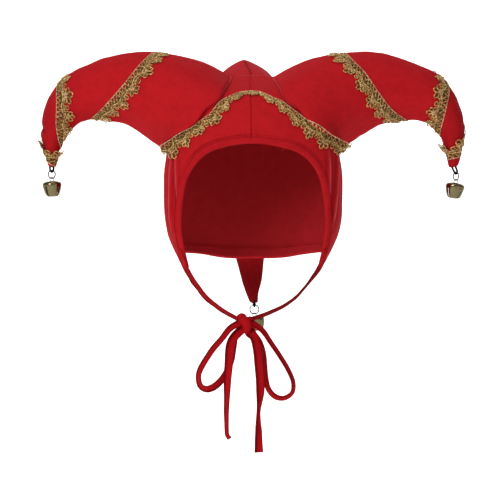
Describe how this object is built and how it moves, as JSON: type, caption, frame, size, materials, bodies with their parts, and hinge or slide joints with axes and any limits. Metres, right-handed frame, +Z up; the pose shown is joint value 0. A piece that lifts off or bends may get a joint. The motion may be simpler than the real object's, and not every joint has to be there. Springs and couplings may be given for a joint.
{
  "type": "jester hat",
  "caption": "Red velvet jester hat: a hood with three stuffed drooping horns, scalloped gold lace, small brass bells at the tips and tape ties in a bow.",
  "frame": {"origin": "inside top of the crown, where the hat rests on a head", "axes": "+X to the right as seen from the front, the face opening looks along -Y, +Z up"},
  "size_m": [0.4656, 0.2664, 0.4303],
  "materials": {
    "red_velvet": "soft velvet",
    "red_tape": "satin",
    "gold_lace": "metallic thread",
    "black_cord": "matt",
    "ring_steel": "polished",
    "bell_brass": "polished",
    "pea_steel": "plain"
  },
  "bodies": {
    "root": {"hood": "red_velvet", "face_binding": "red_velvet", "horn_left": "red_velvet", "horn_right": "red_velvet", "horn_back": "red_velvet", "trim_front": "gold_lace", "trim_left": "gold_lace", "trim_right": "gold_lace", "cord_loop_left": "black_cord", "ring_left": "ring_steel", "bell_left": "bell_brass", "bell_pea_left": "pea_steel", "cord_loop_right": "black_cord", "ring_right": "ring_steel", "bell_right": "bell_brass", "bell_pea_right": "pea_steel", "cord_loop_back": "black_cord", "ring_back": "ring_steel", "bell_back": "bell_brass", "bell_pea_back": "pea_steel", "tie_left": "red_tape", "tie_right": "red_tape", "bow_knot": "red_tape", "bow_loop_left": "red_tape", "bow_loop_right": "red_tape", "tie_tail_left": "red_tape", "tie_tail_right": "red_tape"}
  },
  "joints": []
}
